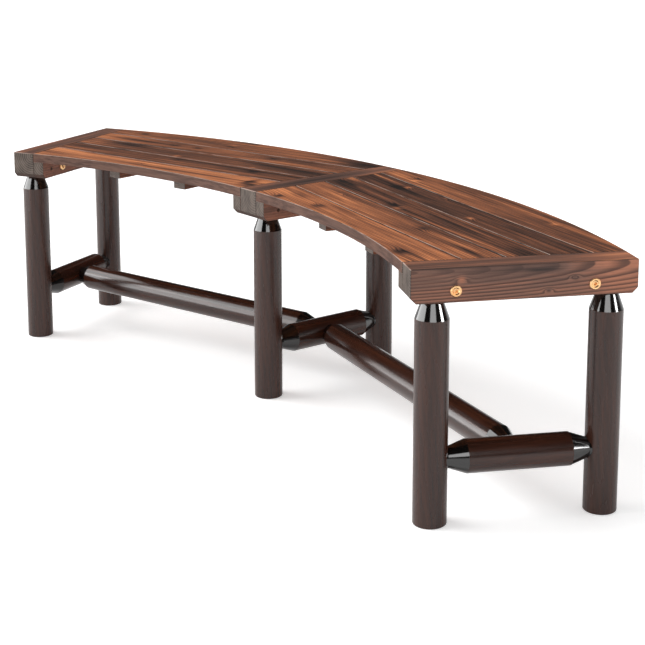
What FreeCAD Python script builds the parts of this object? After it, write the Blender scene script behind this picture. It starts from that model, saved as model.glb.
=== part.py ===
import FreeCAD
import Part
import math
import os
from collections import namedtuple

# Curved garden bench: two half seats of straight planks, carried by three log frames.
# It stands on z = 0, centred on the origin, with its length along X and its hollow side facing -Y.
# The seat's front and back edges are arcs about one centre. A log frame lies on a ray from that centre,
# and a half seat lies about the ray midway between two frames.
# A wooden piece is drawn on its ray, with Y outward and X to the right, and then turned into place.
# Lengths are in millimetres and angles in degrees.

# Seat
SEAT_HEIGHT = 460.0
INNER_RADIUS = 1525.0
SEAT_DEPTH = 402.0
FRAME_ANGLE = 26.93
PLANK_COUNT = 5
PLANK_WIDTH = 73.7
PLANK_THICKNESS = 20.0
PLANK_GAP = 3.0
PLANK_END_GAP = 0.8
PLANK_EASE = 1.0

# Beams, the ledgers on their sides, and the battens under the planks
BEAM_WIDTH = 56.0
BEAM_HEIGHT = 60.0
END_CHAMFER = 10.0
BEAM_EASE = 1.8
LEDGER_THICKNESS = 27.5
LEDGER_EASE = 1.0
BATTEN_WIDTH = 34.0
BATTEN_THICKNESS = 19.0
BATTEN_SPACING = 206.0
BATTEN_EASE = 1.0

# Logs: a leg's inset is from the beam's end to the leg's axis, and a web is the wood kept behind a socket
LEG_DIAMETER = 60.0
LEG_INSET = 45.5
MIDDLE_LEG_SETBACK = 4.6
FOOT_EASE = 3.0
CROSS_DIAMETER = 60.0
LONG_DIAMETER = 58.5
STRETCHER_HEIGHT = 117.5
CONE_LENGTH = 34.0
TENON_DIAMETER = 36.0
TENON_EASE = 1.5
SHOULDER_SINK = 2.0
BEAM_WEB = 22.0
LOG_WEB = 6.0
SOCKET_CLEARANCE = 0.2

# Furniture bolts and their sleeve nuts
BOLT_DIAMETER = 6.0
BOLT_TENON_WALL = 15.0
BOLT_ENGAGEMENT = 12.0
BOLT_POINT = 0.8
FLANGE_DIAMETER = 20.0
FLANGE_THICKNESS = 2.4
FLANGE_BEVEL = 0.9
DISH_DIAMETER = 13.0
DISH_DEPTH = 1.7
BARREL_DIAMETER = 9.0
BOLT_NECK_LENGTH = 6.0
NUT_BARREL_LENGTH = 22.0
NUT_BORE_DEPTH = 16.0
HEX_WIDTH = 6.0
HEX_DEPTH = 4.4
BOLT_CLEARANCE = 0.2

# Wood screws
SCREW_DIAMETER = 4.0
SCREW_HEAD_DIAMETER = 7.2
SCREW_HEAD_HEIGHT = 2.4
SCREW_POINT = 5.0
SCREW_SLOT_LENGTH = 4.0
SCREW_SLOT_WIDTH = 1.0
SCREW_SLOT_DEPTH = 1.5
SCREW_CLEARANCE = 0.1
PLANK_SCREW_BITE = 14.0
LEDGER_SCREW_LENGTH = 35.0
TENON_SCREW_RECESS = 8.0
TENON_SCREW_TIP_GAP = 3.5
CUTTER_OVERRUN = 1.0

# Places worked out from the sizes above
OUTER_RADIUS = INNER_RADIUS + SEAT_DEPTH
HALF_ANGLE = FRAME_ANGLE / 2
HALF_SINE = math.sin(math.radians(HALF_ANGLE))
HALF_COSINE = math.cos(math.radians(HALF_ANGLE))
BEAM_BOTTOM = SEAT_HEIGHT - BEAM_HEIGHT
PLANK_BOTTOM = SEAT_HEIGHT - PLANK_THICKNESS
LEDGER_MIDDLE = (BEAM_BOTTOM + PLANK_BOTTOM) / 2
PLANK_PITCH = PLANK_WIDTH + PLANK_GAP
SEAT_MIDDLE = (INNER_RADIUS * HALF_COSINE + OUTER_RADIUS) / 2
FRONT_OF_ENDS = (INNER_RADIUS * math.cos(math.radians(FRAME_ANGLE))
                 - BEAM_WIDTH / 2 * math.sin(math.radians(FRAME_ANGLE)))
ARC_CENTRE = FreeCAD.Vector(0, -(FRONT_OF_ENDS + OUTER_RADIUS) / 2, 0)
UP = FreeCAD.Vector(0, 0, 1)
TENON_RADIUS = TENON_DIAMETER / 2
LEG_SHOULDER = BEAM_BOTTOM + SHOULDER_SINK
LEG_TENON_LENGTH = SEAT_HEIGHT - BEAM_WEB - LEG_SHOULDER
CROSS_SHOULDER = LEG_DIAMETER / 2 - SHOULDER_SINK
LONG_SHOULDER = CROSS_DIAMETER / 2 - SHOULDER_SINK
BATTEN_SCREW_LENGTH = BATTEN_THICKNESS + PLANK_SCREW_BITE
TENON_SCREW_LENGTH = LEDGER_THICKNESS - TENON_SCREW_RECESS + BEAM_WIDTH / 2 - TENON_SCREW_TIP_GAP

# The frames: the angle of each ray, the sides on which its beam carries ledgers, and its legs' setback
Frame = namedtuple("Frame", "angle ledger_sides leg_setback")
FRAMES = {
    "left": Frame(-FRAME_ANGLE, (1,), 0.0),
    "middle": Frame(0.0, (-1, 1), MIDDLE_LEG_SETBACK),
    "right": Frame(FRAME_ANGLE, (-1,), 0.0),
}
HALVES = {"left": -HALF_ANGLE, "right": HALF_ANGLE}


def ray_vector(angle, right, outward, up=0.0):
    """A direction given on a ray, in the bench's own axes."""
    sine = math.sin(math.radians(angle))
    cosine = math.cos(math.radians(angle))
    return FreeCAD.Vector(right * cosine + outward * sine, outward * cosine - right * sine, up)


def ray_point(angle, right, outward, up):
    """A point given on a ray, in the bench's own axes."""
    return ARC_CENTRE + ray_vector(angle, right, outward, up)


def on_ray(shape, angle):
    """A shape drawn on a ray, turned into place."""
    turn = FreeCAD.Rotation(UP, -angle)
    shape.Placement = FreeCAD.Placement(ARC_CENTRE, turn).multiply(shape.Placement)
    return shape


def along(shape, start, direction):
    """A shape drawn up the Z axis, moved to a start point and turned to a direction."""
    placed = shape.copy()
    placed.Placement = FreeCAD.Placement(start, FreeCAD.Rotation(UP, direction))
    return placed


def turned(outline):
    """A solid turned about the Z axis, from (radius, height) points that start and end on the axis."""
    points = [FreeCAD.Vector(radius, 0, height) for radius, height in outline]
    face = Part.Face(Part.makePolygon(points + points[:1]))
    return face.revolve(FreeCAD.Vector(), UP, 360)


def eased(shape, radius, chosen=lambda edge: True):
    """The shape with the chosen edges rounded."""
    return shape.makeFillet(radius, [edge for edge in shape.Edges if chosen(edge)])


def at_height(height):
    """A test for edges that lie level at one height."""
    def lies_there(edge):
        box = edge.BoundBox
        return max(abs(box.ZMin - height), abs(box.ZMax - height)) < 1e-4
    return lies_there


def leg_distances(frame):
    """How far a frame's front and back leg stand from the arcs' centre."""
    front = INNER_RADIUS + LEG_INSET + frame.leg_setback
    back = OUTER_RADIUS - LEG_INSET + frame.leg_setback
    return front, back


def tenon_screw_distances(frame):
    """Where the screws enter the tenons of a frame's legs, a third of a tenon outside each leg's axis."""
    front, back = leg_distances(frame)
    return front - TENON_DIAMETER / 3, back + TENON_DIAMETER / 3


def bolt_distances(frame):
    """Where the bolts of a frame pass through, just inside its two legs."""
    front, back = leg_distances(frame)
    inside = TENON_RADIUS + BOLT_TENON_WALL
    return front + inside, back - inside


def rail(left, right, top, ease):
    """A beam or ledger on its ray, with the lower corner of each end cut off."""
    outline = [
        (INNER_RADIUS, top),
        (INNER_RADIUS, BEAM_BOTTOM + END_CHAMFER),
        (INNER_RADIUS + END_CHAMFER, BEAM_BOTTOM),
        (OUTER_RADIUS - END_CHAMFER, BEAM_BOTTOM),
        (OUTER_RADIUS, BEAM_BOTTOM + END_CHAMFER),
        (OUTER_RADIUS, top),
    ]
    points = [FreeCAD.Vector(left, outward, up) for outward, up in outline]
    face = Part.Face(Part.makePolygon(points + points[:1]))
    return eased(face.extrude(FreeCAD.Vector(right - left, 0, 0)), ease)


def beam():
    """A beam on its ray."""
    return rail(-BEAM_WIDTH / 2, BEAM_WIDTH / 2, SEAT_HEIGHT, BEAM_EASE)


def ledger(side):
    """A ledger on its ray, flat against one side of the beam and under the planks."""
    near = BEAM_WIDTH / 2
    left, right = sorted((side * near, side * (near + LEDGER_THICKNESS)))
    return rail(left, right, PLANK_BOTTOM, LEDGER_EASE)


def half_seat():
    """All the planks of a half seat as one board, on its ray, between two arcs and two beams."""
    offset = BEAM_WIDTH / 2 + PLANK_END_GAP

    def corner(radius, side):
        reach = math.sqrt(radius ** 2 - offset ** 2)
        right = reach * HALF_SINE - offset * HALF_COSINE
        outward = reach * HALF_COSINE + offset * HALF_SINE
        return FreeCAD.Vector(side * right, outward, PLANK_BOTTOM)

    def arc(radius, side):
        middle = FreeCAD.Vector(0, radius, PLANK_BOTTOM)
        return Part.Arc(corner(radius, -side), middle, corner(radius, side)).toShape()

    edges = [
        arc(INNER_RADIUS, 1),
        Part.LineSegment(corner(INNER_RADIUS, 1), corner(OUTER_RADIUS, 1)).toShape(),
        arc(OUTER_RADIUS, -1),
        Part.LineSegment(corner(OUTER_RADIUS, -1), corner(INNER_RADIUS, -1)).toShape(),
    ]
    return Part.Face(Part.Wire(edges)).extrude(UP * PLANK_THICKNESS)


def gap_line(number):
    """How far from the arcs' centre the gap behind a plank lies, on the half seat's ray."""
    return SEAT_MIDDLE + (number - PLANK_COUNT / 2) * PLANK_PITCH


def plank(number):
    """One plank of a half seat on its ray, numbered from the front."""
    front = gap_line(number - 1) + PLANK_GAP / 2
    back = gap_line(number) - PLANK_GAP / 2
    if number == 1:
        front -= INNER_RADIUS
    if number == PLANK_COUNT:
        back += OUTER_RADIUS
    corner = FreeCAD.Vector(-OUTER_RADIUS, front, PLANK_BOTTOM)
    strip = Part.makeBox(2 * OUTER_RADIUS, back - front, PLANK_THICKNESS, corner)
    return eased(half_seat().common(strip).Solids[0], PLANK_EASE, at_height(SEAT_HEIGHT))


def batten_reach():
    """The front and back ends of a batten, a quarter of the way across the first and last planks."""
    right = BATTEN_SPACING / 2
    front_arc = math.sqrt(INNER_RADIUS ** 2 - right ** 2)
    back_arc = math.sqrt(OUTER_RADIUS ** 2 - right ** 2)
    front = front_arc + (gap_line(1) - front_arc) / 4
    back = back_arc - (back_arc - gap_line(PLANK_COUNT - 1)) / 4
    return front, back


def batten(side):
    """A batten on the half seat's ray, across the undersides of the planks."""
    front, back = batten_reach()
    corner = FreeCAD.Vector(
        side * BATTEN_SPACING / 2 - BATTEN_WIDTH / 2, front, PLANK_BOTTOM - BATTEN_THICKNESS)
    return eased(Part.makeBox(BATTEN_WIDTH, back - front, BATTEN_THICKNESS, corner), BATTEN_EASE)


def log_end(diameter, tenon_length):
    """The outline of a log's end from cone to tenon tip, with its shoulder at height zero."""
    return [
        (diameter / 2, -CONE_LENGTH),
        (TENON_RADIUS, 0),
        (TENON_RADIUS, tenon_length - TENON_EASE),
        (TENON_RADIUS - TENON_EASE, tenon_length),
        (0, tenon_length),
    ]


def socket_cutter(diameter, tenon_length):
    """What a log's end needs cut away, with clearance all round and its shoulder at height zero."""
    outline = [
        (0, -CONE_LENGTH),
        (diameter / 2 + SOCKET_CLEARANCE, -CONE_LENGTH),
        (TENON_RADIUS + SOCKET_CLEARANCE, 0),
        (TENON_RADIUS + SOCKET_CLEARANCE, tenon_length + SOCKET_CLEARANCE),
        (0, tenon_length + SOCKET_CLEARANCE),
    ]
    return turned(outline)


def leg():
    """A leg standing on the Z axis."""
    end = log_end(LEG_DIAMETER, LEG_TENON_LENGTH)
    raised = [(radius, height + LEG_SHOULDER) for radius, height in end]
    outline = [(0, 0), (LEG_DIAMETER / 2, 0)] + raised
    return eased(turned(outline), FOOT_EASE, at_height(0))


def stretcher(diameter, shoulder, span):
    """A stretcher up the Z axis, between two log axes that lie a span apart."""
    end = log_end(diameter, shoulder - LOG_WEB)
    upper = [(radius, span - shoulder + height) for radius, height in end]
    lower = [(radius, shoulder - height) for radius, height in reversed(end)]
    return turned(lower + upper)


def stretcher_cutters(diameter, shoulder, start, end):
    """The two sockets of a stretcher that runs from one log's axis to another's."""
    way = (end - start).normalize()
    cutter = socket_cutter(diameter, shoulder - LOG_WEB)
    return [
        along(cutter, start + way * shoulder, way * -1),
        along(cutter, end - way * shoulder, way),
    ]


def frame_middle(name):
    """The middle of a frame's cross stretcher, on its axis."""
    frame = FRAMES[name]
    return ray_point(frame.angle, 0, sum(leg_distances(frame)) / 2, STRETCHER_HEIGHT)


def hexagon_cutter():
    """The hexagonal drive recess of a bolt or nut, cut up the Z axis."""
    radius = HEX_WIDTH / math.sqrt(3)
    points = []
    for turn in range(7):
        angle = math.radians(60 * turn)
        points.append(FreeCAD.Vector(radius * math.cos(angle), radius * math.sin(angle), 0))
    return Part.Face(Part.makePolygon(points)).extrude(UP * HEX_DEPTH)


def flanged(stem):
    """A dished flange below height zero with a hexagonal recess, on a stem of (radius, height) points."""
    outline = [
        (0, DISH_DEPTH - FLANGE_THICKNESS),
        (DISH_DIAMETER / 2 - DISH_DEPTH, DISH_DEPTH - FLANGE_THICKNESS),
        (DISH_DIAMETER / 2, -FLANGE_THICKNESS),
        (FLANGE_DIAMETER / 2 - FLANGE_BEVEL, -FLANGE_THICKNESS),
        (FLANGE_DIAMETER / 2, FLANGE_BEVEL - FLANGE_THICKNESS),
        (FLANGE_DIAMETER / 2, 0),
    ]
    recess = hexagon_cutter()
    recess.translate(FreeCAD.Vector(0, 0, DISH_DEPTH - FLANGE_THICKNESS))
    return turned(outline + stem).cut(recess)


def bolt(length):
    """A furniture bolt up the Z axis, with its flange's underside at height zero."""
    radius = BOLT_DIAMETER / 2
    stem = [
        (BARREL_DIAMETER / 2, 0),
        (BARREL_DIAMETER / 2, BOLT_NECK_LENGTH),
        (radius, BOLT_NECK_LENGTH),
        (radius, length - BOLT_POINT),
        (radius - BOLT_POINT, length),
        (0, length),
    ]
    return flanged(stem)


def sleeve_nut():
    """A sleeve nut up the Z axis, with its flange's underside at height zero and its bore beyond."""
    bore = BOLT_DIAMETER / 2 + BOLT_CLEARANCE
    floor = NUT_BARREL_LENGTH - NUT_BORE_DEPTH
    stem = [
        (BARREL_DIAMETER / 2, 0),
        (BARREL_DIAMETER / 2, NUT_BARREL_LENGTH),
        (bore, NUT_BARREL_LENGTH),
        (bore, floor),
        (0, floor),
    ]
    return flanged(stem)


def bolt_cutter(grip):
    """The stepped hole for a bolt, its neck and its nut's barrel, up the Z axis through the grip."""
    shank = BOLT_DIAMETER / 2 + BOLT_CLEARANCE
    barrel = BARREL_DIAMETER / 2 + BOLT_CLEARANCE
    neck_floor = BOLT_NECK_LENGTH + BOLT_CLEARANCE
    nut_floor = grip - NUT_BARREL_LENGTH - BOLT_CLEARANCE
    outline = [
        (0, 0),
        (barrel, 0),
        (barrel, neck_floor),
        (shank, neck_floor),
        (shank, nut_floor),
        (barrel, nut_floor),
        (barrel, grip),
        (0, grip),
    ]
    return turned(outline)


def wood_screw(length):
    """A countersunk screw up the Z axis, with the top of its head at height zero."""
    shank = SCREW_DIAMETER / 2
    outline = [
        (0, 0),
        (SCREW_HEAD_DIAMETER / 2, 0),
        (shank, SCREW_HEAD_HEIGHT),
        (shank, length - SCREW_POINT),
        (0, length),
    ]
    screw = turned(outline)
    for size in ((SCREW_SLOT_LENGTH, SCREW_SLOT_WIDTH), (SCREW_SLOT_WIDTH, SCREW_SLOT_LENGTH)):
        corner = FreeCAD.Vector(-size[0] / 2, -size[1] / 2, 0)
        screw = screw.cut(Part.makeBox(size[0], size[1], SCREW_SLOT_DEPTH, corner))
    return screw


def screw_cutter(length, recess):
    """The pilot hole for a screw, its countersink, and the recess behind its head."""
    head = SCREW_HEAD_DIAMETER / 2 + SCREW_CLEARANCE
    shank = SCREW_DIAMETER / 2 + SCREW_CLEARANCE
    outline = [
        (0, -recess - CUTTER_OVERRUN),
        (head, -recess - CUTTER_OVERRUN),
        (head, 0),
        (shank, SCREW_HEAD_HEIGHT),
        (shank, length - SCREW_POINT),
        (SCREW_CLEARANCE, length),
        (0, length),
    ]
    return turned(outline)


def ledger_screw_distances(frame):
    """Where a ledger is screwed to each plank, with the outer two between end chamfer and tenon screw."""
    front_screw, back_screw = tenon_screw_distances(frame)
    right = BEAM_WIDTH / 2 + LEDGER_THICKNESS / 2
    distances = [(INNER_RADIUS + END_CHAMFER + front_screw) / 2]
    for number in range(2, PLANK_COUNT):
        centre = (gap_line(number - 1) + gap_line(number)) / 2
        distances.append((centre - right * HALF_SINE) / HALF_COSINE)
    distances.append((OUTER_RADIUS - END_CHAMFER + back_screw) / 2)
    return distances


def batten_screw_distances():
    """Where a batten is screwed to each plank, on the half seat's ray."""
    front, back = batten_reach()
    lines = [front] + [gap_line(number) for number in range(1, PLANK_COUNT)] + [back]
    return [(near + far) / 2 for near, far in zip(lines, lines[1:])]


def ledger_name(name, side):
    """The name of a frame's ledger: only the middle frame has one on each side."""
    if name != "middle":
        return name + "_ledger"
    return "middle_left_ledger" if side < 0 else "middle_right_ledger"


def wooden_pieces():
    """Every wooden piece by name, in place, before it is drilled."""
    pieces = {}
    for name, frame in FRAMES.items():
        pieces[name + "_beam"] = on_ray(beam(), frame.angle)
        for side in frame.ledger_sides:
            pieces[ledger_name(name, side)] = on_ray(ledger(side), frame.angle)
        front, back = leg_distances(frame)
        pieces[name + "_front_leg"] = along(leg(), ray_point(frame.angle, 0, front, 0), UP)
        pieces[name + "_back_leg"] = along(leg(), ray_point(frame.angle, 0, back, 0), UP)
        cross = stretcher(CROSS_DIAMETER, CROSS_SHOULDER, back - front)
        start = ray_point(frame.angle, 0, front, STRETCHER_HEIGHT)
        pieces[name + "_cross_stretcher"] = along(cross, start, ray_vector(frame.angle, 0, 1))
    for half, angle in HALVES.items():
        for number in range(1, PLANK_COUNT + 1):
            pieces["%s_seat_plank_%d" % (half, number)] = on_ray(plank(number), angle)
        outer = -1 if half == "left" else 1
        pieces[half + "_outer_batten"] = on_ray(batten(outer), angle)
        pieces[half + "_inner_batten"] = on_ray(batten(-outer), angle)
        reach = frame_middle(half) - frame_middle("middle")
        long_log = stretcher(LONG_DIAMETER, LONG_SHOULDER, reach.Length)
        pieces[half + "_long_stretcher"] = along(long_log, frame_middle("middle"), reach)
    return pieces


def socket_cutters():
    """The sockets to cut, each with the names of the pieces that it is cut in."""
    cutters = []
    leg_socket = socket_cutter(LEG_DIAMETER, LEG_TENON_LENGTH)
    for name, frame in FRAMES.items():
        ends = []
        for distance in leg_distances(frame):
            mouth = ray_point(frame.angle, 0, distance, LEG_SHOULDER)
            cutters.append((along(leg_socket, mouth, UP), [name + "_beam"]))
            ends.append(ray_point(frame.angle, 0, distance, STRETCHER_HEIGHT))
        sockets = stretcher_cutters(CROSS_DIAMETER, CROSS_SHOULDER, *ends)
        cutters.append((sockets[0], [name + "_front_leg"]))
        cutters.append((sockets[1], [name + "_back_leg"]))
    for half in HALVES:
        ends = [frame_middle("middle"), frame_middle(half)]
        sockets = stretcher_cutters(LONG_DIAMETER, LONG_SHOULDER, *ends)
        cutters.append((sockets[0], ["middle_cross_stretcher"]))
        cutters.append((sockets[1], [half + "_cross_stretcher"]))
    return cutters


def bolts_and_nuts():
    """The bolts and nuts by group name, and the holes that they need."""
    groups = {"end_bolts": [], "end_bolt_nuts": [], "middle_bolts": [], "middle_bolt_nuts": []}
    cutters = []
    for name, frame in FRAMES.items():
        group = "middle" if name == "middle" else "end"
        nut_side = frame.ledger_sides[0]
        grip = BEAM_WIDTH + len(frame.ledger_sides) * LEDGER_THICKNESS
        nut_face = nut_side * (BEAM_WIDTH / 2 + LEDGER_THICKNESS)
        head_face = nut_face - nut_side * grip
        length = grip - NUT_BARREL_LENGTH + BOLT_ENGAGEMENT
        way = ray_vector(frame.angle, nut_side, 0)
        names = [name + "_beam"] + [ledger_name(name, side) for side in frame.ledger_sides]
        for distance in bolt_distances(frame):
            head = ray_point(frame.angle, head_face, distance, LEDGER_MIDDLE)
            nut = ray_point(frame.angle, nut_face, distance, LEDGER_MIDDLE)
            groups[group + "_bolts"].append(along(bolt(length), head, way))
            groups[group + "_bolt_nuts"].append(along(sleeve_nut(), nut, way * -1))
            cutters.append((along(bolt_cutter(grip), head, way), names))
    return groups, cutters


def screws():
    """The wood screws by group name, and the holes that they need."""
    groups = {"tenon_screws": [], "ledger_screws": [], "batten_screws": []}
    cutters = []

    def drive(group, length, recess, start, way, names):
        groups[group].append(along(wood_screw(length), start, way))
        cutters.append((along(screw_cutter(length, recess), start, way), names))

    def drive_tenon_screws(name, side):
        frame = FRAMES[name]
        seat = side * (BEAM_WIDTH / 2 + LEDGER_THICKNESS - TENON_SCREW_RECESS)
        for place, distance in zip(("front", "back"), tenon_screw_distances(frame)):
            start = ray_point(frame.angle, seat, distance, LEDGER_MIDDLE)
            way = ray_vector(frame.angle, -side, 0)
            names = [ledger_name(name, side), name + "_beam", "%s_%s_leg" % (name, place)]
            drive("tenon_screws", TENON_SCREW_LENGTH, TENON_SCREW_RECESS, start, way, names)

    def drive_ledger_screws(name, side):
        frame = FRAMES[name]
        half = "left" if frame.angle + side * HALF_ANGLE < 0 else "right"
        centre = side * (BEAM_WIDTH + LEDGER_THICKNESS) / 2
        head = PLANK_BOTTOM + PLANK_SCREW_BITE - LEDGER_SCREW_LENGTH
        for number, distance in enumerate(ledger_screw_distances(frame), 1):
            start = ray_point(frame.angle, centre, distance, head)
            names = [ledger_name(name, side), "%s_seat_plank_%d" % (half, number)]
            drive("ledger_screws", LEDGER_SCREW_LENGTH, head - BEAM_BOTTOM, start, UP, names)

    def drive_batten_screws(half, side):
        place = "outer" if side * HALVES[half] > 0 else "inner"
        head = PLANK_BOTTOM - BATTEN_THICKNESS
        for number, distance in enumerate(batten_screw_distances(), 1):
            start = ray_point(HALVES[half], side * BATTEN_SPACING / 2, distance, head)
            names = ["%s_%s_batten" % (half, place), "%s_seat_plank_%d" % (half, number)]
            drive("batten_screws", BATTEN_SCREW_LENGTH, 0, start, UP, names)

    for name, frame in FRAMES.items():
        for side in frame.ledger_sides:
            drive_tenon_screws(name, side)
            drive_ledger_screws(name, side)
    for half in HALVES:
        for side in (-1, 1):
            drive_batten_screws(half, side)
    return groups, cutters


def main():
    """Builds every node and writes it out."""
    os.makedirs("parts", exist_ok=True)
    pieces = wooden_pieces()
    bolt_groups, bolt_holes = bolts_and_nuts()
    screw_groups, screw_holes = screws()
    for cutter, names in socket_cutters() + bolt_holes + screw_holes:
        for name in names:
            pieces[name] = pieces[name].cut(cutter)
    for name, solids in {**bolt_groups, **screw_groups}.items():
        pieces[name] = Part.makeCompound(solids)
    for name, shape in pieces.items():
        shape.exportStep("parts/%s.step" % name)


main()
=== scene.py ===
# The looks of a curved garden bench of scorched fir: its woods and metals, a white floor, light and camera.
import math
from collections import namedtuple

import bpy
from mathutils import Matrix, Vector


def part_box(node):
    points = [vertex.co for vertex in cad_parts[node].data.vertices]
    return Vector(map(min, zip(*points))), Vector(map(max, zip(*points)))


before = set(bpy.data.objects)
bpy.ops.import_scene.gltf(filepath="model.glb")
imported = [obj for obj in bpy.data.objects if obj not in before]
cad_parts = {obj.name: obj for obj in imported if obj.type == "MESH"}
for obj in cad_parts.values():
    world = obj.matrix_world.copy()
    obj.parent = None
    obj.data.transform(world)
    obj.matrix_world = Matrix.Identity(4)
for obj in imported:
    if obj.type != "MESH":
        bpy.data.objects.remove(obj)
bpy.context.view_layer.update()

MM = 0.001
UP = Vector((0, 0, 1))

# Camera: metres, radians, and pixels of the square picture
PICTURE = 645
CAMERA_PLACE = (2.5250, -1.8942, 1.0830)
CAMERA_YAW = 0.9057
CAMERA_PITCH = 0.1804
CAMERA_FOCUS = 1505
CAMERA_SHIFT = -0.25
SENSOR = 36.0

# Light: the world as a lamp, the dim ceiling that gloss sees from a height given as a sine, and the sun
AMBIENT = 0.61
CEILING_ONSET = (0.02, 0.16)
CEILING_GLOW = 0.02
SUN_STRENGTH = 2.0
SUN_SPREAD = math.radians(44)
SUN_PATH = (0.60, 0.50, -0.75)

# Soft boxes that show only as gleams: metres, and the brightness of a box's face
SoftBox = namedtuple("SoftBox", "place target width height brightness")
SOFT_BOXES = {
    "left_box": SoftBox((-2.3, -3.3, 1.0), (0, 0, 0.3), 6.0, 2.4, 6.0),
    "right_strip": SoftBox((3.4, 1.3, 1.3), (0.3, 0, 0.3), 0.7, 1.8, 30.0),
    "front_strip": SoftBox((3.3, -2.0, 1.9), (0.7, -0.1, 0.4), 2.5, 1.6, 4.5),
}

# Floor: metres, how white it is, and how strongly it glows to the camera and to gloss
FLOOR_SIZE = 60.0
FLOOR_WHITE = 0.95
FLOOR_GLOW = 0.42
GLOSS_GLOW = 0.2

# How a piece looks: scorch goes from 0, pale, to 1, black
# Knots are along, across, size and scorch; marks are along, across, length, width and scorch.
# Lengths are in mm from the middle of the piece, along its grain and across, which is back on a plank.
Look = namedtuple("Look", "scorch knots marks", defaults=((), ()))
PLANKS = {
    "left_seat_plank_1": Look(
        scorch=0.28,
        knots=[(-31, 14, 8, 0.2)],
        marks=[(150, 2, 180, 4, 0.45), (-200, -6, 150, 6, 0.22), (314, 4, 11, 24, 0.7),
               (336, -20, 14, 14, 0.6), (60, 18, 300, 9, -0.12), (-250, -26, 120, 12, 0.12)]),
    "left_seat_plank_2": Look(
        scorch=0.64,
        knots=[(5, 14, 9, 0.15), (240, 6, 12, 0.3)],
        marks=[(220, 16, 200, 12, 0.22), (-300, -22, 90, 14, -0.2), (60, -26, 200, 8, -0.12)]),
    "left_seat_plank_3": Look(
        scorch=0.64,
        knots=[(-32, -28, 9, -0.4), (205, -30, 8, -0.3)],
        marks=[(-235, 14, 55, 14, 0.35), (280, 10, 130, 22, 0.28), (-60, -8, 150, 7, 0.2),
               (-340, -8, 50, 30, -0.2)]),
    "left_seat_plank_4": Look(
        scorch=0.52,
        knots=[(-138, -2, 10, 0.35), (-66, 2, 9, 0.3), (172, 6, 10, 0.25)],
        marks=[(-370, 0, 60, 40, -0.32), (-290, 22, 70, 12, -0.25), (-220, -3, 100, 5, 0.35),
               (250, 2, 160, 10, 0.2), (280, 22, 160, 12, 0.08)]),
    "left_seat_plank_5": Look(
        scorch=0.5,
        knots=[(-22, 14, 10, -0.3), (-16, 0, 8, 0.4), (-318, 8, 10, 0.35)],
        marks=[(385, 0, 60, 40, 0.42), (300, 30, 60, 8, 0.3), (80, 20, 200, 8, -0.15),
               (-180, 18, 120, 7, 0.2)]),
    "right_seat_plank_1": Look(
        scorch=0.34,
        knots=[(250, -24, 13, 0.5), (-157, 4, 12, 0.5), (-279, -30, 9, 0.5)],
        marks=[(250, -10, 60, 8, 0.25), (40, -10, 60, 6, 0.15), (-270, 14, 30, 14, 0.2),
               (-330, -14, 60, 20, -0.2)]),
    "right_seat_plank_2": Look(
        scorch=0.41,
        knots=[(112, 9, 12, 0.3), (-240, 10, 6, -0.2)],
        marks=[(300, 0, 50, 6, 0.45), (-200, -6, 130, 9, -0.2), (0, 26, 250, 8, 0.2),
               (120, -20, 180, 10, 0.1)]),
    "right_seat_plank_3": Look(
        scorch=0.65,
        knots=[(-69, -25, 10, -0.45), (-100, -18, 11, 0.3), (-360, -2, 13, 0.25)],
        marks=[(120, 4, 110, 7, 0.25), (350, 4, 50, 16, 0.25), (-320, -20, 100, 6, 0.25),
               (-325, -2, 22, 6, 0.35), (-380, 22, 40, 10, -0.35), (150, -26, 200, 8, -0.15)]),
    "right_seat_plank_4": Look(
        scorch=0.72,
        knots=[(-242, 12, 9, -0.45), (72, -20, 9, -0.45), (-110, 26, 8, -0.3)],
        marks=[(-260, -10, 150, 8, 0.25), (-255, -5, 22, 12, 0.4), (-370, 16, 60, 8, -0.3),
               (30, 14, 40, 8, 0.15), (330, -20, 80, 12, -0.15)]),
    "right_seat_plank_5": Look(
        scorch=0.51,
        knots=[(-300, -8, 10, -0.45), (-314, 6, 9, 0.4), (185, 28, 10, -0.35)],
        marks=[(-385, -8, 60, 14, -0.3), (120, -10, 200, 6, 0.1), (320, 10, 120, 16, 0.1)]),
}
BEAMS = {
    "left_beam": Look(
        scorch=0.36,
        knots=[(-90, 6, 8, 0.3), (110, -10, 7, 0.2)]),
    "middle_beam": Look(
        scorch=0.36,
        knots=[(120, 4, 9, 0.3), (-60, -12, 6, 0.2)],
        marks=[(160, 0, 70, 60, -0.3), (-30, 0, 150, 60, 0.2)]),
    "right_beam": Look(
        scorch=0.36,
        knots=[(-113, 9, 6, -0.55), (86, 4, 4, 0.2), (40, -17, 4, 0.2)],
        marks=[(28, 19, 45, 4, 0.4), (-100, 22, 60, 3, 0.3), (180, 0, 60, 50, -0.4),
               (-150, -10, 90, 30, -0.12)]),
}
LEDGER = Look(scorch=0.3)
BATTEN = Look(scorch=0.52)

# How strongly clouds, streaks, lines and late wood show in the scorch
PLANK_SHARES = (0.6, 0.9, 1.2, 0.35)
BEAM_SHARES = (0.7, 0.5, 0.9, 0.0)
BATTEN_SHARES = (0.8, 0.9, 0.6, 0.16)
NOISE_MEAN = 0.5
LATE_MEAN = 0.3

# How a piece was cut: the rings' width, where the pith lies across and out of the face, and how it runs
# It leans from the grain in radians, and wanders. Planks have it farther off by steps. Lengths are in mm.
Cut = namedtuple("Cut", "ring pith lean wander")
PLANK_CUT = Cut(4.2, (52, -34), (0.01, 0.006), 9)
PLANK_PITH_STEPS = (6, -5)
BEAM_CUT = Cut(5.4, (24, 6), (0.087, 0.0), 4)
BATTEN_CUT = Cut(3.6, (8, -30), (0.02, 0.02), 9)
LOG_CUT = Cut(3.8, (7, -5), (0.035, -0.03), 8)

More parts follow.
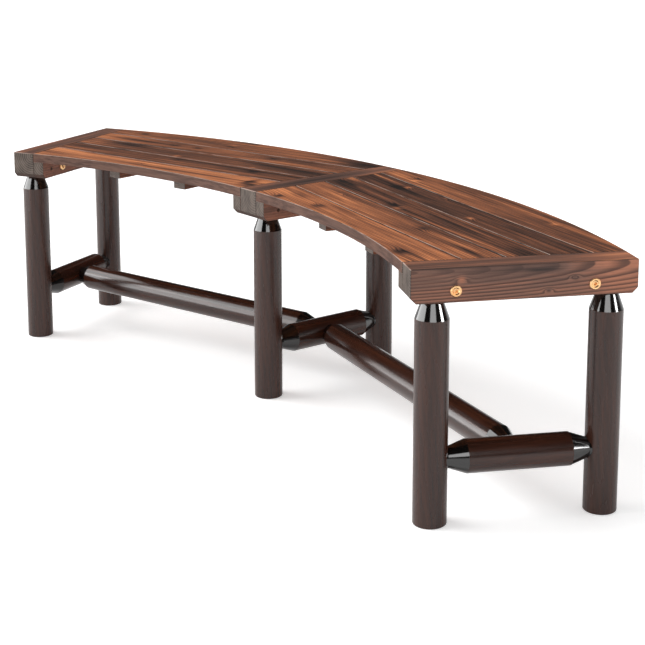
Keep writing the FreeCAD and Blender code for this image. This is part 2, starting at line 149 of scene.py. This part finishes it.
# Rings: the share of a ring's width at which late wood sets in and ends, and the range of its strength
LATE_ONSET = (0.25, 0.85)
LATE_END = (1.0, 0.92)
LATE_STRENGTH = (0.45, 1.15)

# Heartwood of beams: the distances from the pith in mm over which it sets in, and what it adds to the scorch
HEARTWOOD_ONSET = (30, 26)
HEARTWOOD_SCORCH = 0.22

# Knots: lengths and widths as shares of the size, changes to the scorch, and how many rings they bend
HALO = (2.2, 1.0)
CORE = (1.2, 0.9)
HALO_SCORCH = 0.15
CORE_EASE = 0.1
KNOT_BEND = 1.7

# Marks: how far they fray, as shares of their length and width
FRAY = (0.9, 0.5)

# Knots and marks go deeper than any piece, in metres
DEPTH = 1.0

# Noise: the size of its blobs along, across and out of the face in mm, its layers and their strength
Noise = namedtuple("Noise", "size detail roughness")
FIBRES = Noise((40, 0.9, 0.9), 3.0, 0.6)
LINES = Noise((320, 6, 6), 3.0, 0.65)
STREAKS = Noise((240, 11, 11), 5.0, 0.65)
CLOUDS = Noise((400, 28, 28), 4.0, 0.6)
SPECKS = Noise((5, 2.5, 2.5), 3.0, 0.6)
FRAYS = Noise((130, 7, 7), 4.0, 0.6)
DRIFTS = Noise((300, 60, 60), 2.0, 0.5)
RING_STRENGTHS = Noise((250, 25, 25), 3.0, 0.5)
END_BLOTCHES = Noise((60, 30, 16), 4.0, 0.6)
# The patches in which the painted highlight on the upper front edges shows
HIGHLIGHT_PATCHES = Noise((60, 60, 60), 3.0, 0.5)
STAIN_SMEARS = Noise((90, 14, 14), 3.0, 0.5)
PLATING_CLOUDS = Noise((14, 14, 14), 4.0, 0.6)
PLATING_HAIRS = Noise((3, 0.2, 0.4), 2.0, 0.5)

# Steps in metres from the noise of one piece to the noise of the next
SEED_STEPS = (0.731, 0.317, 0.173)

# Cosines between a surface's normal and a direction, over which a look sets in
END_ONSET = (0.55, 0.85)
SIDE_ONSET = (0.75, 0.25)
SEAM_ONSET = (0.98, 0.85)
UPPER_EDGE_ONSET = (0.12, 0.4)
UPPER_EDGE_END = (0.995, 0.9)
FRONT_ONSET = (0.1, 0.4)
ARC_ONSET = (0.4, 0.7)
TOP_ONSET = (0.25, 0.75)
UNDERSIDE_ONSET = (0.35, 0.6)

# Values of a noise, over which a look sets in
# The noise values at which the patches of the painted edge highlight set in come first
HIGHLIGHT_ONSET = (0.25, 0.6)
SAWN_ONSET = (0.3, 0.7)
STAIN_ONSET = (0.25, 0.75)
DULL_ONSET = (0.35, 0.75)

# Colours from 0 to 255, and in the ramps the scorch at which each is reached
SCORCHES = ((0.0, (222, 140, 88)), (0.35, (158, 95, 61)), (0.65, (98, 63, 48)), (1.0, (40, 30, 27)))
BEAM_SCORCHES = ((0.0, (186, 122, 94)), (0.5, (126, 92, 79)), (1.0, (54, 43, 40)))
# Painted shade: the dark colour of the plank sides in the gaps and of the eased seams
EDGE_SHADE = (52, 40, 36)
SAWN_EDGES = ((116, 84, 70), (82, 57, 48))
END_GRAINS = ((120, 106, 96), (58, 48, 42))
RING_LINE = (66, 49, 44)
LOG_STAINS = ((72, 38, 24), (44, 21, 13))
# Painted highlight on the eased upper edges along the front
EDGE_HIGHLIGHT = (184, 158, 145)
LACQUER = (14, 11, 10)

# How strongly looks show: ranges that multiply the tone, and shares of another tone
WOOD_FIBRES = (0.68, 1.32)
LOG_FIBRES = (0.85, 1.15)
SPECK_TONES = (0.4, 1.6)
BEAM_SPECKS = 0.15
LEDGER_SPECKS = 0.5
BEAM_RINGS = (0.95, 0.65)
LEDGER_RINGS = (0.3, 0.3)
BEAM_TOP_WARMTH = 0.5
LOG_RINGS = 0.3
END_RINGS = 0.7
END_BLOTCH_SHARES = (-0.6, 1.1)
# The share of the painted shade on the eased seams
SEAM_SHADE = 0.7

# Gloss: roughness and how far it swings, the specular level, and the length over which lacquer fades
WOOD_ROUGHNESS = 0.65
WOOD_SWING = 0.1
PLANK_GLOSS = 0.15
BEAM_GLOSS = 0.2
BATTEN_GLOSS = 0.3
LEG_ROUGHNESS = 0.27
STRETCHER_ROUGHNESS = 0.21
LOG_SWING = 0.07
LOG_GLOSS = 0.5
LACQUER_ROUGHNESS = 0.1
LACQUER_GLOSS = 0.8
LACQUER_FADE = 0.6 * MM

# The share of a log's greatest radius that counts as its full thickness
FULL_RADIUS = 0.999

# Relief: shares of the late wood and of the fibres, depth in mm, and strength
Relief = namedtuple("Relief", "late fibre depth strength")
WOOD_RELIEF = Relief(0.6, 0.5, 0.25, 0.6)
LOG_RELIEF = Relief(0.4, 0.4, 0.12, 0.5)
HAIR_DEPTH = 0.03
HAIR_STRENGTH = 0.4

# Metals: colours from 0 to 255, the third a painted shade for where the metal looks down, then roughness,
# and how far it swings down and up
Metal = namedtuple("Metal", "bright dull tarnish roughness")
METALS = {
    "brass": Metal((242, 198, 146), (222, 168, 116), (62, 54, 24), 0.3),
    "screw_steel": Metal((120, 112, 104), (70, 64, 60), (60, 54, 50), 0.4),
}
METAL_SWING = (-0.06, 0.1)


def colour(tone):
    """A linear colour from red, green and blue as a screen shows them, 0 to 255."""
    shares = [value / 255 for value in tone]
    linear = [s / 12.92 if s <= 0.04045 else ((s + 0.055) / 1.055) ** 2.4 for s in shares]
    return (*linear, 1.0)


class Nodes:
    """Short calls that add nodes to a tree. A value given to a call is a number or another node's output."""

    def __init__(self, tree):
        self.tree = tree

    def feed(self, socket, value):
        if isinstance(value, bpy.types.NodeSocket):
            self.tree.links.new(value, socket)
        else:
            socket.default_value = value

    def node(self, kind, inputs=(), **settings):
        made = self.tree.nodes.new("ShaderNode" + kind)
        for setting, value in settings.items():
            setattr(made, setting, value)
        for socket, value in dict(inputs).items():
            self.feed(made.inputs[socket], value)
        return made

    def math(self, operation, *values):
        return self.node("Math", enumerate(values), operation=operation).outputs[0]

    def vector(self, operation, *values):
        made = self.node("VectorMath", enumerate(values), operation=operation)
        kind = "Value" if operation in ("LENGTH", "DOT_PRODUCT") else "Vector"
        return made.outputs[kind]

    def texture(self, where, noise):
        """A noise texture, for a point in metres."""
        scaled = self.vector("DIVIDE", where, [length * MM for length in noise.size])
        inputs = {"Vector": scaled, "Scale": 1.0, "Detail": noise.detail, "Roughness": noise.roughness}
        return self.node("TexNoise", inputs)

    def noise(self, where, noise):
        """Noise from 0 to 1, mostly near the middle."""
        return self.texture(where, noise).outputs["Fac"]

    def rise(self, value, low, high):
        """0 at low, 1 at high, a smooth change between, and level beyond."""
        inputs = {"Value": value, "From Min": low, "From Max": high}
        return self.node("MapRange", inputs, interpolation_type="SMOOTHSTEP").outputs["Result"]

    def between(self, factor, first, second):
        """A number that goes from first to second as the factor goes from 0 to 1."""
        inputs = {"Value": factor, "To Min": first, "To Max": second}
        return self.node("MapRange", inputs).outputs["Result"]

    def mix(self, factor, first, second, blend="MIX"):
        inputs = {0: factor, 6: first, 7: second}
        return self.node("Mix", inputs, data_type="RGBA", blend_type=blend).outputs[2]

    def shade(self, factor, tones):
        """A colour that goes from the first to the second of two tones, 0 to 255."""
        return self.mix(factor, *map(colour, tones))

    def ramp(self, value, stops):
        """A colour that runs through the stops, each a place from 0 to 1 and a tone from 0 to 255."""
        made = self.node("ValToRGB", {0: value})
        points = made.color_ramp.elements
        for place, tone in stops[1:-1]:
            points.new(place).color = colour(tone)
        for point, (place, tone) in zip((points[0], points[-1]), (stops[0], stops[-1])):
            point.position = place
            point.color = colour(tone)
        return made.outputs["Color"]

    def mapped(self, where, place, turn):
        """The same point measured from a place along turned axes."""
        inputs = {"Vector": where, "Location": place, "Rotation": turn}
        return self.node("Mapping", inputs, vector_type="TEXTURE").outputs["Vector"]

    def rays(self):
        """Two numbers: 1 for what the camera sees itself, and 1 for what gloss and glass show."""
        path = self.node("LightPath").outputs
        mirrored = self.math("MAXIMUM", path["Is Glossy Ray"], path["Is Transmission Ray"])
        return path["Is Camera Ray"], mirrored


class Paint(Nodes):
    """One material."""

    def __init__(self, name):
        self.material = bpy.data.materials.new(name)
        self.material.use_nodes = True
        super().__init__(self.material.node_tree)
        self.shader = self.tree.nodes["Principled BSDF"]

    def set(self, **values):
        """Sets the shader's sockets: Base_Color stands for Base Color."""
        for socket, value in values.items():
            self.feed(self.shader.inputs[socket.replace("_", " ")], value)

    def bump(self, height, depth, strength):
        """Raises the surface by up to the depth, in mm, where the height is 1."""
        inputs = {"Height": height, "Distance": depth * MM, "Strength": strength}
        self.set(Normal=self.node("Bump", inputs).outputs["Normal"])


def middle(node):
    lowest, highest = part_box(node)
    return (lowest + highest) / 2


# Half of the bench's arc, from how far an end beam lies out and back from the middle one
OUT = middle("right_beam") - middle("middle_beam")
HALF_ARC = 2 * math.atan2(-OUT.y, OUT.x)
SIDES = {"left": -1, "middle": 0, "right": 1}


def side_of(node):
    return node.split("_")[0]


def ray(share, side):
    """The level direction away from the arc's centre, a share of the way from the middle to a side."""
    angle = share * SIDES[side] * HALF_ARC
    return Vector((math.sin(angle), math.cos(angle), 0))


def tangent(side):
    """The level direction along a side's planks, to the right."""
    out = ray(0.5, side)
    return Vector((out.y, -out.x, 0))


def turned_to(along, face):
    """The rotation whose X runs along the grain and whose Z leaves the piece's face."""
    return Matrix((along, face.cross(along), face)).transposed().to_euler()


Board = namedtuple("Board", "node along face front seed")


class Grain:
    """The growth rings, fibres and knots of one piece of wood, as node outputs, most of them from 0 to 1."""

    def __init__(self, paint, board, cut, knots=()):
        self.paint = paint
        self.board = board
        self.noises = {}
        place = paint.node("TexCoord").outputs["Object"]
        self.where = paint.mapped(place, middle(board.node), turned_to(board.along, board.face))
        self.field = paint.vector("ADD", self.where, [step * board.seed for step in SEED_STEPS])
        self.bend, self.heart = self.knot_nearness(knots)
        self.radius = self.pith_distance(cut)
        self.late = self.late_wood(cut.ring)
        self.normal = paint.node("NewGeometry").outputs["Normal"]
        self.rising = paint.vector("DOT_PRODUCT", self.normal, UP)
        self.level = paint.math("ABSOLUTE", self.rising)

    def noise(self, kind):
        """One kind of noise, made when it is first asked for."""
        if kind not in self.noises:
            self.noises[kind] = self.paint.noise(self.field, kind)
        return self.noises[kind]

    def nearness(self, where, place, size):
        """1 at a place, falling to 0 around it over the sizes."""
        paint = self.paint
        scaled = paint.vector("DIVIDE", paint.vector("SUBTRACT", where, place), size)
        return paint.math("POWER", 1 / math.e, paint.vector("DOT_PRODUCT", scaled, scaled))

    def knot_nearness(self, knots):
        """How far the rings bend around knots, and what the knots' cores and halos add to the scorch."""
        paint = self.paint
        bend = 0.0
        heart = 0.0
        for along, across, size, scorch in knots:
            place = (along * MM, across * MM, 0.0)
            halo, core = [self.nearness(self.where, place, (length * size * MM, width * size * MM, DEPTH))
                          for length, width in (HALO, CORE)]
            bend = paint.math("ADD", bend, halo)
            cored = paint.math("MULTIPLY_ADD", core, scorch - CORE_EASE, heart)
            heart = paint.math("MULTIPLY_ADD", halo, HALO_SCORCH, cored)
        return bend, heart

    def marked(self, marks):
        """What the scorch marks add. They fray by a share of their size, most of it along the grain."""
        paint = self.paint
        loose = paint.texture(self.field, FRAYS).outputs["Color"]
        total = 0.0
        for along, across, length, width, scorch in marks:
            fray = Vector((FRAY[0] * length, FRAY[1] * width, 0.0)) * MM
            frayed = paint.vector("MULTIPLY_ADD", loose, fray, self.where)
            place = Vector((along, across, 0.0)) * MM + fray / 2
            nearness = self.nearness(frayed, place, (length * MM, width * MM, DEPTH))
            total = paint.math("MULTIPLY_ADD", nearness, scorch, total)
        return total

    def pith_distance(self, cut):
        """How far a point lies from the pith, in metres."""
        paint = self.paint
        wander = cut.wander * MM
        drift = paint.texture(self.field, DRIFTS).outputs["Color"]
        moved = paint.vector("MULTIPLY_ADD", drift, (0.0, wander, wander), self.where)
        centre = [place * MM + wander / 2 for place in cut.pith]
        core = paint.mapped(moved, (0.0, *centre), (0.0, *cut.lean))
        return paint.vector("LENGTH", paint.vector("MULTIPLY", core, (0.0, 1.0, 1.0)))

    def late_wood(self, ring):
        """The late part of each growth ring."""
        paint = self.paint
        bent = paint.math("MULTIPLY", self.bend, KNOT_BEND)
        share = paint.math("FRACT", paint.math("MULTIPLY_ADD", self.radius, 1 / (ring * MM), bent))
        late = paint.math("MULTIPLY", paint.rise(share, *LATE_ONSET), paint.rise(share, *LATE_END))
        return paint.math("MULTIPLY", late, paint.between(self.noise(RING_STRENGTHS), *LATE_STRENGTH))

    def relief(self, shares):
        """How far late wood and fibres stand out."""
        raised = self.paint.math("MULTIPLY", self.noise(FIBRES), shares.fibre)
        return self.paint.math("MULTIPLY_ADD", self.late, shares.late, raised)

    def facing(self, direction, low, high):
        """Where the surface looks along a direction."""
        return self.paint.rise(self.paint.vector("DOT_PRODUCT", self.normal, direction), low, high)

    def ends(self):
        share = self.paint.vector("DOT_PRODUCT", self.normal, self.board.along)
        return self.paint.rise(self.paint.math("ABSOLUTE", share), *END_ONSET)

    def sides(self):
        return self.paint.rise(self.level, *SIDE_ONSET)

    def seams(self):
        """The eased edges, where the surface looks along none of the piece's own directions, which get
        painted shade.
        """
        paint = self.paint
        most = self.level
        for direction in (self.board.along, self.board.along.cross(UP)):
            share = paint.math("ABSOLUTE", paint.vector("DOT_PRODUCT", self.normal, direction))
            most = paint.math("MAXIMUM", most, share)
        return paint.rise(most, *SEAM_ONSET)

    def highlit_edges(self):
        """The eased upper edges along the front, which get a painted highlight."""
        paint = self.paint
        raised = paint.rise(self.rising, *UPPER_EDGE_ONSET)
        slanted = paint.math("MULTIPLY", raised, paint.rise(self.rising, *UPPER_EDGE_END))
        patchy = paint.rise(self.noise(HIGHLIGHT_PATCHES), *HIGHLIGHT_ONSET)
        faced = self.facing(self.board.front, *FRONT_ONSET)
        return paint.math("MULTIPLY", paint.math("MULTIPLY", slanted, patchy), faced)


def scorch_level(paint, grain, look, shares):
    """How far a piece is scorched: noise, late wood, knots and marks add up around its own scorch."""
    total = paint.math("ADD", grain.heart, grain.marked(look.marks))
    parts = [(grain.noise(kind), NOISE_MEAN) for kind in (CLOUDS, STREAKS, LINES)]
    parts.append((grain.late, LATE_MEAN))
    for (part, mean), share in zip(parts, shares):
        total = paint.math("MULTIPLY_ADD", part, share, paint.math("ADD", total, -share * mean))
    return paint.math("ADD", total, look.scorch)


def fibred(paint, grain, tone, strength):
    """The tone with the fine light and dark of the fibres."""
    return paint.mix(1.0, tone, paint.between(grain.noise(FIBRES), *strength), blend="MULTIPLY")


def finish_wood(paint, grain, tone, gloss):
    """Sawn ends, painted shade on the seams, a painted highlight on the upper front edges, gloss and relief
    that every sawn piece shares.
    """
    blotched = paint.between(grain.noise(END_BLOTCHES), *END_BLOTCH_SHARES)
    ends = paint.shade(paint.math("MULTIPLY_ADD", grain.late, END_RINGS, blotched), END_GRAINS)
    ended = paint.mix(grain.ends(), tone, ends)
    # Painted shade darkens the eased seams
    shaded_seams = paint.mix(paint.math("MULTIPLY", grain.seams(), SEAM_SHADE), ended, colour(EDGE_SHADE))
    # Painted highlight lightens the eased upper edges along the front
    highlit = paint.mix(grain.highlit_edges(), shaded_seams, colour(EDGE_HIGHLIGHT))
    rough = paint.between(grain.noise(FIBRES), WOOD_ROUGHNESS - WOOD_SWING, WOOD_ROUGHNESS + WOOD_SWING)
    paint.set(Base_Color=highlit, Roughness=rough, Specular_IOR_Level=gloss)
    paint.bump(grain.relief(WOOD_RELIEF), WOOD_RELIEF.depth, WOOD_RELIEF.strength)


def plank_cut(seed):
    """The pith lies on either side by turns and at several distances, so that the planks' rings differ."""
    beside = 1 if seed % 2 else -1
    across = PLANK_CUT.pith[0] + PLANK_PITH_STEPS[0] * (seed % 4)
    below = PLANK_CUT.pith[1] + PLANK_PITH_STEPS[1] * (seed % 3)
    lean = (beside * PLANK_CUT.lean[0], PLANK_CUT.lean[1])
    return PLANK_CUT._replace(pith=(beside * across, below), lean=lean)


def plank_wood(node, seed):
    """Seat planks: painted shade on the long edges in the gaps, and a sawn edge on the arc of the first and
    the last.
    """
    side = side_of(node)
    number = int(node[-1])
    arc_side = {1: -1, len(PLANKS) // 2: 1}.get(number, 0)
    out = ray(0.5, side)
    look = PLANKS[node]
    paint = Paint(node + "_wood")
    grain = Grain(paint, Board(node, tangent(side), UP, -out, seed), plank_cut(seed), look.knots)
    level = scorch_level(paint, grain, look, PLANK_SHARES)
    seat = fibred(paint, grain, paint.ramp(level, SCORCHES), WOOD_FIBRES)
    # Painted shade darkens the long sides of the planks in the gaps
    shaded_sides = paint.mix(grain.sides(), seat, colour(EDGE_SHADE))
    sawn = paint.shade(paint.rise(grain.noise(LINES), *SAWN_ONSET), SAWN_EDGES)
    edged = paint.mix(grain.facing(arc_side * out, *ARC_ONSET), shaded_sides, sawn)
    finish_wood(paint, grain, edged, PLANK_GLOSS)
    return paint


def beam_wood(node, seed):
    """Beams and ledgers: their grain runs out along their ray, and their faces look sideways."""
    along = ray(1.0, side_of(node))
    ledger = node.endswith("ledger")
    look = LEDGER if ledger else BEAMS[node]
    rings = LEDGER_RINGS if ledger else BEAM_RINGS
    specks = LEDGER_SPECKS if ledger else BEAM_SPECKS
    paint = Paint(node + "_wood")
    grain = Grain(paint, Board(node, along, along.cross(UP), -along, seed), BEAM_CUT, look.knots)
    level = scorch_level(paint, grain, look, BEAM_SHARES)
    heart = paint.rise(grain.radius, *[radius * MM for radius in HEARTWOOD_ONSET])
    scorch = paint.math("MULTIPLY_ADD", heart, HEARTWOOD_SCORCH, level)
    top = paint.math("MULTIPLY", paint.rise(grain.rising, *TOP_ONSET), BEAM_TOP_WARMTH)
    base = paint.mix(top, paint.ramp(scorch, BEAM_SCORCHES), paint.ramp(scorch, SCORCHES))
    ringed = paint.math("MULTIPLY", grain.late, paint.between(heart, *rings))
    lined = paint.mix(ringed, base, colour(RING_LINE))
    speck_tones = paint.between(grain.noise(SPECKS), *SPECK_TONES)
    specked = paint.mix(specks, lined, speck_tones, blend="MULTIPLY")
    finish_wood(paint, grain, fibred(paint, grain, specked, WOOD_FIBRES), BEAM_GLOSS)
    return paint


def batten_wood(node, seed):
    along = ray(0.5, side_of(node))
    paint = Paint(node + "_wood")
    grain = Grain(paint, Board(node, along, UP, -along, seed), BATTEN_CUT)
    level = scorch_level(paint, grain, BATTEN, BATTEN_SHARES)
    finish_wood(paint, grain, fibred(paint, grain, paint.ramp(level, SCORCHES), WOOD_FIBRES), BATTEN_GLOSS)
    return paint


def log_axis(node):
    """The direction in which a log was turned."""
    if node.endswith("leg"):
        return UP
    side = side_of(node)
    return ray(1.0, side) if "cross" in node else tangent(side)


def full_reach(node, along):
    """The lowest and highest places along a log, from its middle, where it has its full thickness."""
    centre = middle(node)
    offsets = [vertex.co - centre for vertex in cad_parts[node].data.vertices]
    places = [(offset.dot(along), offset.cross(along).length) for offset in offsets]
    full = FULL_RADIUS * max(radius for place, radius in places)
    reached = [place for place, radius in places if radius > full]
    return min(reached), max(reached)


def lacquered(paint, grain, upright):
    """The pointed ends, beyond a log's full thickness. A leg has only the upper one."""
    low, high = full_reach(grain.board.node, grain.board.along)
    place = paint.node("SeparateXYZ", {"Vector": grain.where}).outputs["X"]
    upper = paint.rise(place, high, high + LACQUER_FADE)
    if upright:
        return upper
    return paint.math("MAXIMUM", upper, paint.rise(place, low, low - LACQUER_FADE))


def log_wood(node, seed):
    """Turned logs under dark stain, with pointed ends dipped in black lacquer."""
    along = log_axis(node)
    upright = node.endswith("leg")
    face = Vector((1, 0, 0)) if upright else UP
    body_rough = LEG_ROUGHNESS if upright else STRETCHER_ROUGHNESS
    paint = Paint(node + "_wood")
    grain = Grain(paint, Board(node, along, face, along, seed), LOG_CUT)
    streaked = paint.shade(paint.rise(grain.noise(STREAKS), *STAIN_ONSET), LOG_STAINS)
    lined = paint.mix(paint.math("MULTIPLY", grain.late, LOG_RINGS), streaked, colour(LACQUER))
    stained = fibred(paint, grain, lined, LOG_FIBRES)
    body = paint.between(grain.noise(STAIN_SMEARS), body_rough - LOG_SWING, body_rough + LOG_SWING)
    tip = lacquered(paint, grain, upright)
    paint.set(Base_Color=paint.mix(tip, stained, colour(LACQUER)))
    paint.set(Roughness=paint.between(tip, body, LACQUER_ROUGHNESS))
    paint.set(Specular_IOR_Level=paint.between(tip, LOG_GLOSS, LACQUER_GLOSS))
    bare = paint.math("SUBTRACT", 1.0, tip)
    height = paint.math("MULTIPLY", grain.relief(LOG_RELIEF), bare)
    paint.bump(height, LOG_RELIEF.depth, LOG_RELIEF.strength)
    return paint


def metal_paint(name):
    """Plated metal with faint clouds and hairline scratches, and painted shade where it looks down."""
    metal = METALS[name]
    paint = Paint(name)
    place = paint.node("TexCoord").outputs["Object"]
    clouds = paint.noise(place, PLATING_CLOUDS)
    down = paint.vector("DOT_PRODUCT", paint.node("NewGeometry").outputs["Normal"], -UP)
    plated = paint.shade(paint.rise(clouds, *DULL_ONSET), (metal.bright, metal.dull))
    # Painted shade: the metal darkens where its surface looks down
    shaded_below = paint.mix(paint.rise(down, *UNDERSIDE_ONSET), plated, colour(metal.tarnish))
    rough = paint.between(clouds, *[metal.roughness + swing for swing in METAL_SWING])
    paint.set(Base_Color=shaded_below, Metallic=1.0, Roughness=rough)
    paint.bump(paint.noise(place, PLATING_HAIRS), HAIR_DEPTH, HAIR_STRENGTH)
    return paint


WOODS = {"plank": plank_wood, "beam": beam_wood, "ledger": beam_wood, "batten": batten_wood,
         "leg": log_wood, "stretcher": log_wood}


def dress(node, paint):
    """Gives every material slot of a node's object the paint."""
    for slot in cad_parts[node].material_slots:
        slot.material = paint.material


def dress_bench():
    """Every wooden piece gets a grain of its own, and the fasteners share two metals."""
    brass = metal_paint("brass")
    steel = metal_paint("screw_steel")
    for seed, node in enumerate(sorted(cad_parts), 1):
        if "bolt" in node:
            dress(node, brass)
        elif "screws" in node:
            dress(node, steel)
        else:
            wood = next(WOODS[word] for word in WOODS if word in node)
            dress(node, wood(node, seed))


def make_world():
    """White to the camera, and softer as a light. Gloss sees it white at the horizon and dim above."""
    world = bpy.data.worlds.new("studio")
    world.use_nodes = True
    bpy.context.scene.world = world
    sky = Nodes(world.node_tree)
    height = sky.node("SeparateXYZ", {"Vector": sky.node("TexCoord").outputs["Generated"]}).outputs["Z"]
    ceiling = sky.between(sky.rise(height, *CEILING_ONSET), 1.0, CEILING_GLOW)
    camera_ray, mirror_ray = sky.rays()
    unseen = sky.between(mirror_ray, AMBIENT, ceiling)
    background = world.node_tree.nodes["Background"]
    background.inputs["Color"].default_value = (1, 1, 1, 1)
    sky.feed(background.inputs["Strength"], sky.between(camera_ray, unseen, 1.0))


def make_floor():
    """A white floor that keeps the bench's shadow. To the camera and to gloss it glows as well."""
    paint = Paint("floor_white")
    paint.tree.nodes.remove(paint.shader)
    camera_ray, mirror_ray = paint.rays()
    mirrored = paint.math("MULTIPLY", mirror_ray, GLOSS_GLOW)
    glow = paint.node("Emission", {"Strength": paint.between(camera_ray, mirrored, FLOOR_GLOW)})
    diffuse = paint.node("BsdfDiffuse", {"Color": (FLOOR_WHITE, FLOOR_WHITE, FLOOR_WHITE, 1)})
    both = paint.node("AddShader", {0: diffuse.outputs[0], 1: glow.outputs[0]})
    paint.feed(paint.tree.nodes["Material Output"].inputs["Surface"], both.outputs[0])
    bpy.ops.mesh.primitive_plane_add(size=FLOOR_SIZE, location=(0, 0, 0))
    floor = bpy.context.object
    floor.name = "floor"
    floor.data.materials.append(paint.material)


def aim(thing, direction):
    thing.rotation_euler = Vector(direction).to_track_quat("-Z", "Y").to_euler()


def make_sun():
    lamp = bpy.data.lights.new("sun", "SUN")
    lamp.energy = SUN_STRENGTH
    lamp.angle = SUN_SPREAD
    sun = bpy.data.objects.new("sun", lamp)
    aim(sun, SUN_PATH)
    bpy.context.collection.objects.link(sun)


def make_soft_box(name, box):
    """A lamp that shows only as a gleam on glossy surfaces."""
    lamp = bpy.data.lights.new(name, "AREA")
    lamp.shape = "RECTANGLE"
    lamp.size = box.width
    lamp.size_y = box.height
    lamp.energy = box.brightness * math.pi * box.width * box.height
    holder = bpy.data.objects.new(name, lamp)
    holder.location = box.place
    holder.visible_diffuse = False
    holder.visible_camera = False
    aim(holder, Vector(box.target) - Vector(box.place))
    bpy.context.collection.objects.link(holder)


def make_camera():
    lens = bpy.data.cameras.new("camera")
    lens.sensor_width = SENSOR
    lens.lens = SENSOR * CAMERA_FOCUS / PICTURE
    lens.shift_y = CAMERA_SHIFT
    camera = bpy.data.objects.new("camera", lens)
    camera.location = CAMERA_PLACE
    camera.rotation_euler = (math.pi / 2 - CAMERA_PITCH, 0, CAMERA_YAW)
    bpy.context.collection.objects.link(camera)
    bpy.context.scene.camera = camera


dress_bench()
make_world()
make_floor()
make_sun()
for name, box in SOFT_BOXES.items():
    make_soft_box(name, box)
make_camera()
bpy.context.scene.view_settings.view_transform = "Standard"
